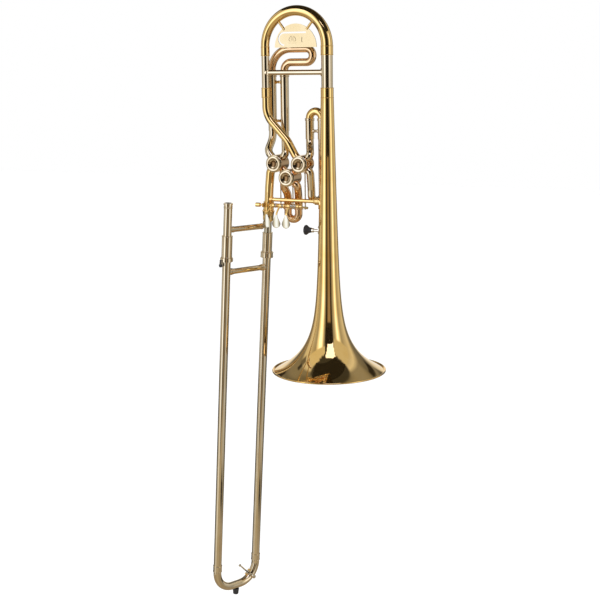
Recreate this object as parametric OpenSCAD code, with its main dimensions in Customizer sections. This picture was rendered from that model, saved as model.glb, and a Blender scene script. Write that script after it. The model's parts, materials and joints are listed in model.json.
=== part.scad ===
// Bass trombone with three rotary valves, hanging bell down.
// Frame: millimetres, +Z up. The origin is on the axis of the slide receiver, at the face where
// the hand slide meets the bell section. The bell section lies in the XZ plane, the bell axis is
// parallel to Z at x = bell_x, and the front of the instrument faces -Y.

/* [Main tubing] */
// Outside diameter of the narrow tubing
tube_od = 15; // [14.6:0.1:15.2]
// Wall of the drawn tubing
tube_wall = 0.6; // [0.4:0.1:0.8]
// Distance between the two legs of the main tuning slide
bell_x = 130; // [129:0.5:131]
// Outside diameter of the wide fixed tube of the tuning slide
wide_od = 22; // [21.6:0.1:22.2]

/* [Bell] */
// Radius of the bell at its rim
bell_r = 110.6; // [105:0.5:115]
// Height of the rim, below the origin
rim_z = -286.7; // [-290:0.5:-280]
// Height of the small end of the bell
bell_top_z = 241; // [240:0.5:242]
// Wall of the bell
bell_wall = 0.9; // [0.7:0.1:1]

/* [Tuning slide] */
// Height at which the bow's half circle starts
bow_z = 338; // [336:0.5:340]
// Height of the joint between the moving slide and the fixed tubes
parting_z = 319; // [318:0.5:320]

/* [Valves] */
// Centre of the first valve, left and upper
valve_x = 23.3; // [23:0.1:23.6]
// Height of the two upper valves
valve_z = 116; // [115.5:0.1:116.5]
// Sideways and downward step from an upper valve to the lower one
valve_step = 26.75; // [26.5:0.05:27]
// Outside radius of a valve casing
casing_r = 17; // [16.8:0.1:17.2]
// Radius of a rotor
rotor_r = 15; // [14.9:0.1:15.1]

/* [Hand slide] */
// Lean of the hand slide away from the bell, degrees
lean = 4.27; // [3.8:0.01:4.6]
// Pitch of the hand slide towards the back, degrees
pitch = 1.57; // [1.2:0.01:2]
// Turn of the slide's plane from the plane of the bell, degrees
slide_turn = -114; // [-120:1:-108]
// Distance between the two tubes of the hand slide
slide_gap = 98.6; // [96:0.2:100]
// Outside radius of the outer slide tubes
outer_r = 8.2; // [8.15:0.05:8.3]

/* [Hidden] */
$fn = 64;
tube_r = tube_od / 2;
tube_id = tube_od - 2 * tube_wall;
fit = 0.05;                      // radial gap of every running fit

// Tuning slide
narrow_leg_r = 6.9;              // narrow leg of the moving slide
narrow_sleeve_r = 7.6;           // its fixed tube
wide_leg_r = wide_od / 2 - 0.7;
wide_sleeve_r = wide_od / 2;
bow_r0 = 8;                      // radius of the bow at its narrow end
bow_r1 = 11.5;
leg_depth = 70;                  // how far the legs reach into the fixed tubes
ferrule_len = 19;
brace_z = 288.5;

// Valves
v1 = [valve_x, valve_z];
v2 = [valve_x + 2 * valve_step, valve_z];
v3 = [valve_x + valve_step, valve_z - valve_step];
port_bore_r = tube_r - tube_wall;
passage_r = 5.6;                 // bore through a rotor
rotor_half = 14;                 // half the length of a rotor
plate_t = 2;                     // thickness of the bearing plates
shaft_r = 3;
elbow = 22.5;                    // distance from a valve's axis to the corner of its elbows
stop_y = 17;                   // front face of the stop arms
stop_t = 3;
pin_reach = 10;                  // radius of the link pin on a stop arm

// Valve loops
sleeve_r = 8.3;                  // fixed sleeves that hold the slides of the loops
f_y = 22;                        // first loop: legs behind the bell's plane
f_x = 2.2;
f_gap = 27;
f_top = 332.9;                   // upper run of the S-bend
f_low = 307.3;                   // lower run of the S-bend
f_turn_x = 77;                   // centre of the S-bend's end turn
f_parting = 285;
l2_y = 24;                       // second loop
l2_x = 81.4;
l2_gap = 25.9;
l2_parting = 201.8;
l3_y = 12;                       // third loop
l3_gap = 23.1;
l3_x = v3[0] - l3_gap / 2;
l3_parting = 26;
l3_turn_z = 18;

// Lever mechanism
hinge_y = -13;
hinge_z = 35;
hinge_rod_r = 1.5;
barrel_r = 4.2;
lever_swing = 21.08;             // travel of a thumb lever, degrees
lever_reach = 38.65;             // from the hinge to the link, along the output arm
link_y = hinge_y + lever_reach * cos(lever_swing / 2);
link_z = hinge_z - lever_reach * sin(lever_swing / 2);
bar_y = -5;                      // brace from the neck to the bell
bar_z = 45.4;
bar_r = 3.8;

// Hand slide, t is the distance from the origin down the slide
inner_r = 7.5;
stocking_r = 7.65;
outer_in_r = stocking_r + fit;   // inside of the outer slide tubes
inner_bore = 6.9;
stocking_t = 600;                // where the thicker ends of the inner tubes start
inner_end = 700;
outer_top_t = 30;
bow_joint_t = 717;               // where the outer tubes meet the bow
bow_low_t = 767.6;               // middle of the bow's lowest run
bow_corner = 40;
barrel_bore = 8.9;
upper_brace_t = 7;
lower_brace_t = 90.2;
tenon_r = 7.25;
receiver_r = 9.5;
shank_r = 6.4;                   // bore that takes the mouthpiece
key_pivot = -11.8;               // pivot of the water key, inside the bow

// ---------- helpers ----------

function unit(v) = v / norm(v);
// Point in the valve plane, at an angle round a valve
function round_valve(v, r, a) = [v[0] + r * cos(a), 0, v[1] + r * sin(a)];
function corner_angle(p, i) = acos(unit(p[i] - p[i - 1]) * unit(p[i + 1] - p[i]));
// Length that a bend of radius r takes from each side of corner i
function setback(p, r, i) = (i == 0 || i == len(p) - 1) ? 0 : r[i - 1] * tan(corner_angle(p, i) / 2);

module ring(ro, ri) {
    difference() {
        circle(ro);
        circle(ri);
    }
}

// Straight tube from a to b
module pipe(a, b, ro, ri) {
    d = b - a;
    translate(a)
        rotate([0, acos(d[2] / norm(d)), atan2(d[1], d[0])])
            difference() {
                cylinder(r = ro, h = norm(d));
                if (ri > 0) translate([0, 0, -1]) cylinder(r = ri, h = norm(d) + 2);
            }
}

module rod(a, b, r) {
    pipe(a, b, r, 0);
}

// Round bend at corner b of the path a, b, c. Its wall is a hair thicker than the straight tubes'
// and its ends reach a little over them, as a soldered joint does
module bend(a, b, c, r, ro, ri) {
    u = unit(b - a);
    w = unit(c - b);
    turn = acos(u * w);
    n = unit(w - (w * u) * u);
    m = b - u * (r * tan(turn / 2)) + n * r;
    z = cross(-n, u);
    multmatrix([[-n[0], u[0], z[0], m[0]], [-n[1], u[1], z[1], m[1]], [-n[2], u[2], z[2], m[2]], [0, 0, 0, 1]])
        joined_arc(turn, r, ro, ri);
}

solder = 0.04;
lip = 0.4;
// Arc of tube from 0 to turn about the z axis, with its lips
module joined_arc(turn, r, ro, ri) {
    more = lip / r * 180 / PI;
    rotate([0, 0, -more]) rotate_extrude(angle = turn + 2 * more) translate([r, 0]) ring(ro + solder, ri - solder);
}

// Tube along the points p, with a round bend of radius r[i] at each inner point
module tube_path(p, r, ro = tube_r, ri = port_bore_r) {
    n = len(p);
    for (i = [0 : n - 2]) {
        u = unit(p[i + 1] - p[i]);
        pipe(p[i] + u * setback(p, r, i), p[i + 1] - u * setback(p, r, i + 1), ro, ri);
    }
    for (i = [1 : 1 : n - 2]) bend(p[i - 1], p[i], p[i + 1], r[i - 1], ro, ri);
}

// Solid cylinder that fills a casing, for cutting the tubes that meet it
module casing_fill(v) {
    translate([v[0], 0, v[1]]) rotate([90, 0, 0]) cylinder(r = casing_r, h = 60, center = true);
}

// Frame whose z axis runs up the axis of the receiver
module upper_frame() {
    rotate([0, lean, 0]) rotate([pitch, 0, 0]) children();
}

// Turns a point from the slide's own axes to the instrument's
function lean_back(p) = let (
    y = p[1] * cos(pitch) - p[2] * sin(pitch),
    z = p[1] * sin(pitch) + p[2] * cos(pitch)
) [p[0] * cos(lean) + z * sin(lean), y, z * cos(lean) - p[0] * sin(lean)];

// Moves the middle of the mouthpiece socket to the origin
module at_socket() {
    translate(-lean_back([slide_gap * cos(slide_turn), slide_gap * sin(slide_turn), 30])) children();
}

// Frame of the hand slide: z runs up, the lower tube is at x = 0 and the upper tube, which
// takes the mouthpiece, is at x = slide_gap
module slide_frame() {
    upper_frame() rotate([0, 0, slide_turn]) children();
}

// Ring of revolution round one slide tube, from t0 down to t1
module slide_ring(x, t0, t1, ro, ri) {
    translate([x, 0, -t1]) difference() {
        cylinder(r = ro, h = t1 - t0);
        if (ri > 0) translate([0, 0, -1]) cylinder(r = ri, h = t1 - t0 + 2);
    }
}

module valve_frame(v) {
    translate([v[0], 0, v[1]]) children();
}

// Cylinder along Y from y0 to y1
module y_disc(r, y0, y1) {
    translate([0, y1, 0]) rotate([90, 0, 0]) cylinder(r = r, h = y1 - y0);
}

// Closed surface swept through rings of points
module skin(rings) {
    n = len(rings);
    m = len(rings[0]);
    pts = [for (s = rings) each s];
    sides = [for (i = [0 : n - 2]) for (j = [0 : m - 1]) let (k = (j + 1) % m)
        each [[i * m + j, i * m + k, (i + 1) * m + k], [i * m + j, (i + 1) * m + k, (i + 1) * m + j]]];
    first = [for (j = [m - 1 : -1 : 0]) j];
    last = [for (j = [0 : m - 1]) (n - 1) * m + j];
    polyhedron(concat(pts), concat([first], sides, [last]));
}

// ---------- bell ----------

bell_len = bell_top_z - rim_z;
tail_r = 12.4;
body_gain = 18.4;                 // growth of the radius over the long body
body_power = 0.64;
lip_gain = 46.1;                  // growth in the last part of the flare
lip_len = 39.6;                   // length over which the lip shrinks by a factor e
flare_gain = bell_r - tail_r - body_gain - lip_gain;
flare_len = 39.6;
// Outside radius at a distance d above the rim
function bell_radius(d) = tail_r + body_gain * (1 - pow(d / bell_len, body_power))
    + flare_gain * exp(-d / flare_len) + lip_gain * exp(-d / lip_len);
function bell_slope(d) = (bell_radius(d + 0.5) - bell_radius(d - 0.5));
function bell_outer(d) = [bell_radius(d), rim_z + d];
function bell_inner(d) = let (s = bell_slope(d), n = sqrt(1 + s * s))
    [bell_radius(d) - bell_wall / n, rim_z + d + bell_wall * s / n];
// Steps get longer away from the rim
bell_steps = [for (i = [0 : 40]) 1 + (bell_len - 1) * pow(i / 40, 2.2)];

module bell_profile() {
    last = len(bell_steps) - 1;
    polygon(concat([for (d = bell_steps) bell_outer(d)],
        [for (i = [last : -1 : 0]) i == last ? [tail_r - bell_wall, bell_top_z] : bell_inner(bell_steps[i])]));
}

module bell() {
    color("gold") translate([bell_x, 0, 0]) rotate_extrude() bell_profile();
}

module bell_rim_wire() {
    wire_r = 1.7;
    color("gold") translate([bell_x, 0, 0]) rotate_extrude() difference() {
        intersection() {
            translate([bell_r - 0.6, rim_z + wire_r - 0.25]) circle(wire_r);
            translate([0, rim_z]) square([200, 10]);
        }
        bell_profile();
    }
}

// ---------- main tuning slide ----------

// The wide and the narrow outer tube
module tuning_sleeves() {
    color("tan") {
        pipe([bell_x, 0, bell_top_z - 12], [bell_x, 0, parting_z], wide_sleeve_r, wide_leg_r + fit);
        pipe([0, 0, bell_top_z], [0, 0, parting_z], narrow_sleeve_r, narrow_leg_r + fit);
    }
}

// Ring with a bead at each end, standing on a tube of radius r
module ferrule(r, z0, z1, t = 1) {
    rotate_extrude() {
        translate([r, z0]) square([t, z1 - z0]);
        for (z = [z0 + t, z1 - t]) translate([r + t, z]) intersection() {
            circle(0.5);
            translate([0, -t]) square([t, 2 * t]);
        }
    }
}

// The ferrules at the lower ends of the two outer tubes
module sleeve_ferrules() {
    bead_r = 0.6;
    color("gold") {
        ferrule(narrow_sleeve_r, bell_top_z, bell_top_z + ferrule_len);
        translate([bell_x, 0, 0]) rotate_extrude() {
            translate([wide_sleeve_r, bell_top_z]) square([1.3, ferrule_len]);
            for (z = [bell_top_z + bead_r, bell_top_z + ferrule_len - bead_r])
                translate([wide_sleeve_r + 1.3, z]) intersection() {
                    circle(bead_r);
                    translate([0, -bead_r]) square([bead_r, 2 * bead_r]);
                }
        }
    }
}

module brace_foot(r, at) {
    // Round saddle, as a slice of a thin shell round the tube
    translate(at) intersection() {
        difference() {
            cylinder(r = r + 1.2, h = 20, center = true);
            cylinder(r = r, h = 22, center = true);
        }
        children();
    }
}

module tuning_brace() {
    brace_r = 5;
    foot_r = 7.5;
    color("goldenrod") difference() {
        union() {
            rod([0, 0, brace_z], [bell_x, 0, brace_z], brace_r);
            brace_foot(narrow_sleeve_r, [0, 0, brace_z]) rotate([0, 90, 0]) cylinder(r = foot_r, h = 20);
            brace_foot(wide_sleeve_r, [bell_x, 0, brace_z]) rotate([0, -90, 0]) cylinder(r = foot_r, h = 20);
        }
        translate([0, 0, brace_z]) cylinder(r = narrow_sleeve_r, h = 40, center = true);
        translate([bell_x, 0, brace_z]) cylinder(r = wide_sleeve_r, h = 40, center = true);
    }
}

bow_steps = 32;
bow_sides = 32;
bow_mid = bell_x / 2;
// Ring of points across the bow, at step i, where the tube's radius grows from narrow to wide
function bow_ring(i, inset) = let (a = 180 - 180 * i / bow_steps, r = bow_r0 - inset
        + (bow_r1 - bow_r0) * i / bow_steps, c = [bow_mid + bow_mid * cos(a), 0, bow_z + bow_mid * sin(a)])
    [for (j = [0 : bow_sides - 1]) let (b = 360 * j / bow_sides)
        c + r * (cos(b) * [cos(a), 0, sin(a)] + sin(b) * [0, 1, 0])];
// The same ring, moved along the tube by step, so that a cutter passes through the ends
function moved(s, v) = [for (p = s) p + v];

module tuning_bow() {
    color("gold") difference() {
        skin([for (i = [0 : bow_steps]) bow_ring(i, 0)]);
        skin(concat([moved(bow_ring(0, tube_wall), [0, 0, -1])], [for (i = [0 : bow_steps]) bow_ring(i, tube_wall)],
            [moved(bow_ring(bow_steps, tube_wall), [0, 0, -1])]));
    }
}

module tuning_legs() {
    color("silver") {
        pipe([0, 0, parting_z - leg_depth], [0, 0, bow_z], narrow_leg_r, narrow_leg_r - tube_wall);
        pipe([bell_x, 0, parting_z - leg_depth], [bell_x, 0, bow_z], wide_leg_r, wide_leg_r - tube_wall);
    }
}

module bow_ferrules() {
    gap = 0.4;
    color("goldenrod") {
        ferrule(narrow_leg_r, parting_z + gap, bow_z, 1.4);
        translate([bell_x, 0, 0]) ferrule(wide_leg_r, parting_z + gap, bow_z, 1.4);
    }
}

plate_r = 44;
plate_z = 335;
plate_t2 = 1.6;

// Half-round plate with a cartouche left open round its tablet
module ornament_plate() {
    slot_w = 3;
    color("khaki") difference() {
        intersection() {
            translate([bow_mid, 0, plate_z]) y_disc(plate_r, -plate_t2 / 2, plate_t2 / 2);
            translate([bow_mid - 60, -10, plate_z]) cube([120, 20, 60]);
        }
        // A slot round three sides of the tablet
        for (z = [plate_z + 26]) translate([bow_mid - 24, -5, z]) cube([46, 10, slot_w]);
        translate([bow_mid - 24, 0, plate_z + 16]) rotate([90, 0, 0]) intersection() {
            linear_extrude(height = 10, center = true) ring(13, 13 - slot_w);
            translate([-20, -20, -5]) cube([20, 40, 10]);
        }
    }
}

// Two short posts that hold the plate in the bow
module plate_posts() {
    post_r = 2.4;
    color("goldenrod") for (a = [52, 128]) {
        u = [cos(a), 0, sin(a)];
        difference() {
            rod([bow_mid, 0, bow_z] + 38 * u, [bow_mid, 0, bow_z] + 60 * u, post_r);
            skin([for (i = [0 : bow_steps]) bow_ring(i, 0)]);
            translate([bow_mid, 0, plate_z]) y_disc(plate_r, -plate_t2 / 2, plate_t2 / 2);
        }
    }
}

// ---------- main tube and valves ----------

module gooseneck() {
    path = [[0, 0, bell_top_z], [0, 0, 207], [45, 0, 160], round_valve(v2, elbow - 1, 135), round_valve(v2, 14, 135)];
    color("goldenrod") difference() {
        tube_path(path, [45, 60, 25]);
        casing_fill(v2);
    }
}

// Point on the slide's axis at a distance up from the origin
function up_slide(t) = t * [sin(lean) * cos(pitch), -sin(pitch), cos(lean) * cos(pitch)];

module neck_tube() {
    path = [up_slide(29), up_slide(70), round_valve(v1, elbow, 225), round_valve(v1, casing_r - 3, 225)];
    color("goldenrod") difference() {
        tube_path(path, [60, 12], 8.4, 7.2);
        casing_fill(v1);
    }
}

// Female receiver with a thread for the lock nut
module receiver() {
    color("gold") upper_frame() rotate_extrude() difference() {
        union() {
            translate([tenon_r + fit, 9]) square([receiver_r - tenon_r - fit, 32]);
            translate([tenon_r + fit, 24]) square([10.2 - tenon_r - fit, 17]);
            for (z = [25, 40]) translate([10.2, z]) circle(0.5);
        }
        // Seat for the neck tube
        translate([0, 29]) square([8.4, 20]);
    }
}

module valve_links() {
    color("sienna") difference() {
        union() {
            pipe(round_valve(v1, casing_r - 3, -45), round_valve(v3, casing_r - 3, 135), tube_r, port_bore_r);
            pipe(round_valve(v3, casing_r - 3, 45), round_valve(v2, casing_r - 3, -135), tube_r, port_bore_r);
        }
        casing_fill(v1);
        casing_fill(v2);
        casing_fill(v3);
    }
}

module valve_casing(v) {
    color("gold") valve_frame(v) difference() {
        y_disc(casing_r, -rotor_half - plate_t, rotor_half + plate_t);
        y_disc(rotor_r + fit, -30, 30);
        for (a = [45 : 90 : 315]) rotate([0, -a, 0]) rotate([0, 90, 0]) cylinder(r = port_bore_r, h = 30);
    }
}

module valve_casing_1() { valve_casing(v1); }
module valve_casing_2() { valve_casing(v2); }
module valve_casing_3() { valve_casing(v3); }

// Bearing plate inside one end of a casing
module bearing(v, y0) {
    valve_frame(v) difference() {
        y_disc(rotor_r + fit, y0, y0 + plate_t - fit);
        y_disc(shaft_r + fit, -30, 30);
    }
}

module rotor_bearings() {
    color("silver") for (v = [v1, v2, v3]) {
        bearing(v, -rotor_half - plate_t);
        bearing(v, rotor_half + fit);
    }
}

module valve_caps() {
    cap_front = -21;
    cap_back = -rotor_half - plate_t;
    color("gold") for (v = [v1, v2, v3]) valve_frame(v) rotate([90, 0, 0]) rotate_extrude()
        translate([0, -cap_back]) polygon([
            [0, 0], [casing_r, 0], [casing_r, 0.8], [casing_r - 1.6, 1.6], [casing_r - 1.6, 2.6],
            [casing_r - 2.4, cap_back - cap_front], [casing_r - 4.4, cap_back - cap_front],
            [casing_r - 5.4, cap_back - cap_front - 1], [0, cap_back - cap_front - 1]]);
}

cork_r = 2;
tail_half = 2.2;
stop_reach = 11;
stop_lead = asin((cork_r + tail_half + 0.1) / stop_reach);

module stop_corks() {
    color("tan") for (v = [v1, v2, v3]) valve_frame(v) for (a = [45 + stop_lead, -45 - stop_lead])
        rotate([0, -a, 0]) translate([stop_reach, 0, 0]) y_disc(cork_r, rotor_half + plate_t, stop_y + stop_t + 0.4);
}

// turn is the angle of the middle of the first passage
module rotor(v, turn) {
    color("silver") valve_frame(v) difference() {
        union() {
            y_disc(rotor_r, -rotor_half + fit, rotor_half);
            y_disc(shaft_r, -rotor_half - plate_t + 0.2, stop_y + stop_t);
        }
        for (a = [turn, turn + 180]) rotate([0, -a, 0]) translate([rotor_r * sqrt(2), 0, 0])
            rotate([90, 0, 0]) rotate([0, 0, 120]) rotate_extrude(angle = 120) translate([rotor_r, 0]) circle(passage_r);
    }
}

module rotor_1() { rotor(v1, 90); }
module rotor_2() { rotor(v2, 0); }
module rotor_3() { rotor(v3, 90); }

pin_y = stop_y + stop_t;
pin_len = 4.6;

module stop_arm(v) {
    arm_half = 2;
    color("gold") valve_frame(v) {
        difference() {
            union() {
                y_disc(5.4, stop_y, stop_y + stop_t);
                // Arm to the link pin, at 225 degrees
                rotate([0, -225, 0]) {
                    translate([3.6, stop_y, -arm_half]) cube([pin_reach - 3.6, stop_t, 2 * arm_half]);
                    translate([pin_reach, 0, 0]) y_disc(3, stop_y, stop_y + stop_t);
                    translate([pin_reach, 0, 0]) y_disc(1.5, stop_y, pin_y + pin_len);
                }
                // Tail that meets the corks
                rotate([0, -45, 0]) translate([3.6, stop_y, -tail_half]) cube([9.9, stop_t, 2 * tail_half]);
            }
            y_disc(shaft_r, -30, 30);
        }
        y_disc(4.2, stop_y + stop_t, stop_y + stop_t + 1.4);
    }
}

module stop_arm_1() { stop_arm(v1); }
module stop_arm_2() { stop_arm(v2); }
module stop_arm_3() { stop_arm(v3); }

// ---------- valve loops ----------

// Tube from a valve's port at an angle, through a corner, to a vertical leg at p
module elbow_path(v, a, corner, p, end_z, r1, r2) {
    difference() {
        tube_path([round_valve(v, 14, a), round_valve(v, corner, a), p, [p[0], p[1], end_z]], [r1, r2]);
        casing_fill(v);
    }
}

// Sleeve that holds one leg of a loop's slide, with a ferrule at its open end
module sleeve(x, y, z_fixed, z_open, r = sleeve_r) {
    lo = min(z_fixed, z_open);
    hi = max(z_fixed, z_open);
    mouth = z_open > z_fixed ? hi - 5 : lo;
    pipe([x, y, lo], [x, y, hi], r, tube_r + fit);
    translate([x, y, 0]) ferrule(r, mouth, mouth + 5, 0.8);
}

module f_loop_tubes() {
    z = 163;
    color("tan") {
        elbow_path(v1, 135, 30.8, [f_x, f_y, z], z + 20, 18, 30);
        elbow_path(v1, 45, 24.7, [f_x + f_gap, f_y, z], z + 20, 10, 30);
        for (x = [f_x, f_x + f_gap]) sleeve_cap(x, f_y, z + 14, z + 20);
        for (x = [f_x, f_x + f_gap]) sleeve(x, f_y, z + 20, f_parting);
    }
}

// Step where a sleeve is soldered over its elbow tube
module sleeve_cap(x, y, z0, z1, r = sleeve_r) {
    pipe([x, y, min(z0, z1)], [x, y, max(z0, z1)], r, tube_r);
}

// Small turned rod with a ball in its middle, between two legs at the same height
module leg_brace(x0, x1, y, z, r) {
    len = x1 - x0;
    difference() {
        translate([x0, y, z]) rotate([0, 90, 0]) rotate_extrude() intersection() {
            union() {
                square([1.9, len]);
                translate([0, len / 2]) circle(2.9);
                square([3.5, r + 1.2]);
                translate([0, len - r - 1.2]) square([3.5, r + 1.2]);
            }
            square([10, len]);
        }
        for (x = [x0, x1]) translate([x, y, z]) cylinder(r = r, h = 12, center = true);
    }
}

module f_loop_braces() {
    color("goldenrod") for (z = [196, 270.3]) leg_brace(f_x, f_x + f_gap, f_y, z, sleeve_r);
}

// Half turn between two legs, in the plane through both. dir is 1 for a turn that goes up
module half_turn(a, b, dir, ro = tube_r, ri = port_bore_r) {
    d = b - a;
    translate((a + b) / 2) rotate([0, 0, atan2(d[1], d[0])]) rotate([90, 0, 0])
        rotate([0, 0, dir > 0 ? 0 : 180]) joined_arc(180, norm(d) / 2, ro, ri);
}

module f_slide() {
    right = f_x + f_gap;
    turn_r = (f_top - f_low) / 2;
    color("peru") {
        tube_path([[f_x, f_y, f_parting], [f_x, f_y, f_top], [f_turn_x, f_y, f_top]], [40]);
        translate([f_turn_x, f_y, (f_top + f_low) / 2]) rotate([90, 0, 0]) rotate([0, 0, -90])
            joined_arc(180, turn_r, tube_r, port_bore_r);
        tube_path([[f_turn_x, f_y, f_low], [right, f_y, f_low], [right, f_y, f_parting]], [14.5]);
    }
    color("silver") for (x = [f_x, right])
        pipe([x, f_y, f_parting - 72], [x, f_y, f_parting], tube_r, port_bore_r);
}

module loop_2_tubes() {
    low = [92, 7, 56];
    right = [l2_x + l2_gap, l2_y, 56];
    z = 152;
    top = z + 14;
    color("tan") {
        elbow_path(v2, 45, 23.5, [l2_x, l2_y, z], top, 8.8, 25);
        for (x = [l2_x, l2_x + l2_gap]) {
            sleeve_cap(x, l2_y, top - 4, top);
            sleeve(x, l2_y, top, l2_parting);
        }
        pipe(right, [right[0], right[1], top], tube_r, port_bore_r);
        half_turn(low, right, -1);
        difference() {
            tube_path([round_valve(v2, 14, -45), round_valve(v2, 23, -45), low + [0, 0, 8], low], [8.8, 40]);
            casing_fill(v2);
        }
        leg_brace(l2_x, l2_x + l2_gap, l2_y, 177.3, sleeve_r);
    }
}

module loop_2_slide() {
    left = [l2_x, l2_y, l2_parting];
    right = [l2_x + l2_gap, l2_y, l2_parting];
    color("gold") half_turn(left, right, 1);
    color("silver") for (p = [left, right]) pipe(p - [0, 0, 32], p, tube_r, port_bore_r);
}

module loop_3_tubes() {
    z = 54;
    color("sienna") {
        elbow_path(v3, 225, 22, [l3_x, l3_y, z], z - 10, 8.8, 22);
        elbow_path(v3, -45, 22, [l3_x + l3_gap, l3_y, z], z - 10, 8.8, 22);
        for (x = [l3_x, l3_x + l3_gap]) {
            sleeve_cap(x, l3_y, z - 7, z - 10, 8);
            sleeve(x, l3_y, z - 10, l3_parting, 8);
        }
    }
}

module loop_3_slide() {
    left = [l3_x, l3_y, l3_turn_z];
    right = [l3_x + l3_gap, l3_y, l3_turn_z];
    color("peru") {
        half_turn(left, right, -1);
        for (p = [left, right]) pipe(p, [p[0], p[1], l3_parting + 17], tube_r, port_bore_r);
    }
}

// ---------- bell brace and levers ----------

// Ring round the bell at height z, tube_t thick, cut to the side that faces a brace
module bell_brace() {
    post_x = 2.6;
    flange_z0 = 30;
    color("goldenrod") difference() {
        union() {
            rod([post_x, bar_y, bar_z], [bell_x, bar_y, bar_z], bar_r);
            // Collars at both ends
            rod([9, bar_y, bar_z], [14, bar_y, bar_z], 5.4);
            rod([103.5, bar_y, bar_z], [107, bar_y, bar_z], 5);
            rod([106.5, bar_y, bar_z], [116, bar_y, bar_z], 6.8);
            // Saddle on the bell
            intersection() {
                translate([bell_x, 0, 0]) rotate_extrude() polygon(concat(
                    [for (z = [flange_z0 : 6 : 54]) [bell_radius(z - rim_z) + 1.3, z]],
                    [[5, 54], [5, flange_z0]]));
                translate([bell_x - 30, bar_y / 2, 42]) rotate([0, 90, 0]) cylinder(r = 11.5, h = 30);
            }
        }
        bell_fill();
        neck_fill();
    }
}

// Solid shape of the bell, for cutting what is soldered to it
module bell_fill() {
    last = len(bell_steps) - 1;
    translate([bell_x, 0, 0]) rotate_extrude() polygon(concat([[0, rim_z]],
        [for (d = bell_steps) bell_outer(d)], [[0, bell_top_z]]));
}

module neck_fill() {
    upper_frame() {
        cylinder(r = 8.4, h = 75);
        translate([0, 0, 23.5]) cylinder(r = 10.8, h = 17.7);
    }
}

rod_x0 = -16;
rod_x1 = 78;
// Posts hold the hinge rod in front of the neck and under the brace
module lever_rod() {
    color("silver") rod([rod_x0, hinge_y, hinge_z], [rod_x1, hinge_y, hinge_z], hinge_rod_r);
    color("gold") {
        rod([rod_x0 - 3, hinge_y, hinge_z], [-9.8, hinge_y, hinge_z], barrel_r);
        rod([rod_x1, hinge_y, hinge_z], [rod_x1 + 3, hinge_y, hinge_z], 3);
        difference() {
            union() {
                // Bracket at the neck, and one at the right end
                translate([-4, hinge_y - 4, hinge_z - 4]) cube([12.5, 14, 8]);
                rod([76.8, hinge_y, hinge_z], [79, hinge_y, hinge_z], 3.4);
                rod([77.8, hinge_y, hinge_z], [77.8, bar_y, bar_z], 1.6);
            }
            rod([rod_x0, hinge_y, hinge_z], [rod_x1 + 3, hinge_y, hinge_z], hinge_rod_r);
            neck_fill();
            rod([60, bar_y, bar_z], [bell_x, bar_y, bar_z], bar_r);
        }
    }
}

// Thumb lever: x is the middle of the paddle, root is the foot of its neck, arm is the middle of the
// output arm, the barrel runs from b0 to b1, s0 to s1 is the waist for its spring, and pin is the x
// of its link
module lever(x, root, arm, b0, b1, s0, s1, pin) {
    half = lever_swing / 2;
    neck_r = 1.8;
    translate([0, hinge_y, hinge_z]) {
        color("gold") {
            difference() {
                union() {
                    rod([b0, 0, 0], [s0, 0, 0], barrel_r);
                    rod([s0, 0, 0], [s1, 0, 0], barrel_r - 0.8);
                    rod([s1, 0, 0], [b1, 0, 0], barrel_r);
                    // Neck, which carries the paddle clear of the lock nut
                    rod([root, 0, -2], [x, -11, -10], neck_r);
                    translate([x, -11, -10]) sphere(neck_r + 0.3);
                    rod([x, -11, -10], [x, -14.5, -20.5], neck_r);
                    lever_arm(arm, b1 - 1.6, half);
                    rotate([-half, 0, 0]) translate([0, lever_reach, 0])
                        rod([arm, 0, 0], [pin - 5.5, 0, 0], 1);
                }
                rod([b0 - 9, 0, 0], [b1 + 9, 0, 0], hinge_rod_r + fit);
            }
        }
        color("silver") paddle(x);
    }
}

// Output arm, which starts at the barrel and may step sideways
module lever_arm(arm, end, half) {
    root = min(arm, end);
    rotate([-half, 0, 0]) {
        hull() {
            translate([root - 1.5, 2, -1.8]) cube([3, 2, 3.6]);
            translate([arm - 1.5, 12, -1.8]) cube([3, 2, 3.6]);
        }
        translate([arm - 1.5, 12, -1.8]) cube([3, lever_reach - 12, 3.6]);
        translate([arm - 1.5, lever_reach, 0]) rotate([0, 90, 0]) cylinder(r = 2.6, h = 3);
    }
}

// Drop-shaped thumb plate, slightly rounded from side to side
module paddle(x) {
    low_r = 8.75;
    high_r = 2.6;
    low_z = -33.2;
    high_z = -18.5;
    plate_r = 40;
    translate([x, -16.6, 0]) difference() {
        intersection() {
            translate([0, plate_r, -45]) cylinder(r = plate_r, h = 35);
            rotate([90, 0, 0]) linear_extrude(height = 12, center = true) {
                translate([0, low_z]) circle(low_r);
                translate([0, high_z]) circle(high_r);
                polygon([[-2.3, -17.6], [-7.7, -29.8], [7.7, -29.8], [2.3, -17.6]]);
            }
        }
        translate([0, plate_r, -46]) cylinder(r = plate_r - 1.6, h = 40);
    }
}

module lever_1() { lever(12, 16.5, 20.4, 13.8, 28.8, 23, 26.6, v1[0] - 7.07); }
module lever_2() { lever(32.5, 34, 50.45, 30, 45.5, 38.2, 41.8, v3[0] - 7.07); }
module lever_3() { lever(53.5, 53.4, 73.6, 47, 76, 56, 70, v2[0] - 7.07); }

// Wound springs, drawn as a pile of wire rings
module lever_springs() {
    wire = 0.45;
    color("silver") for (s = [[23.2, 3], [38.4, 3], [56.6, 14]]) for (i = [0 : s[1] - 1])
        translate([s[0] + wire + i * 2 * wire, hinge_y, hinge_z]) rotate([0, 90, 0])
            rotate_extrude() translate([barrel_r - 0.25, 0]) circle(wire - 0.005);
}

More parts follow.
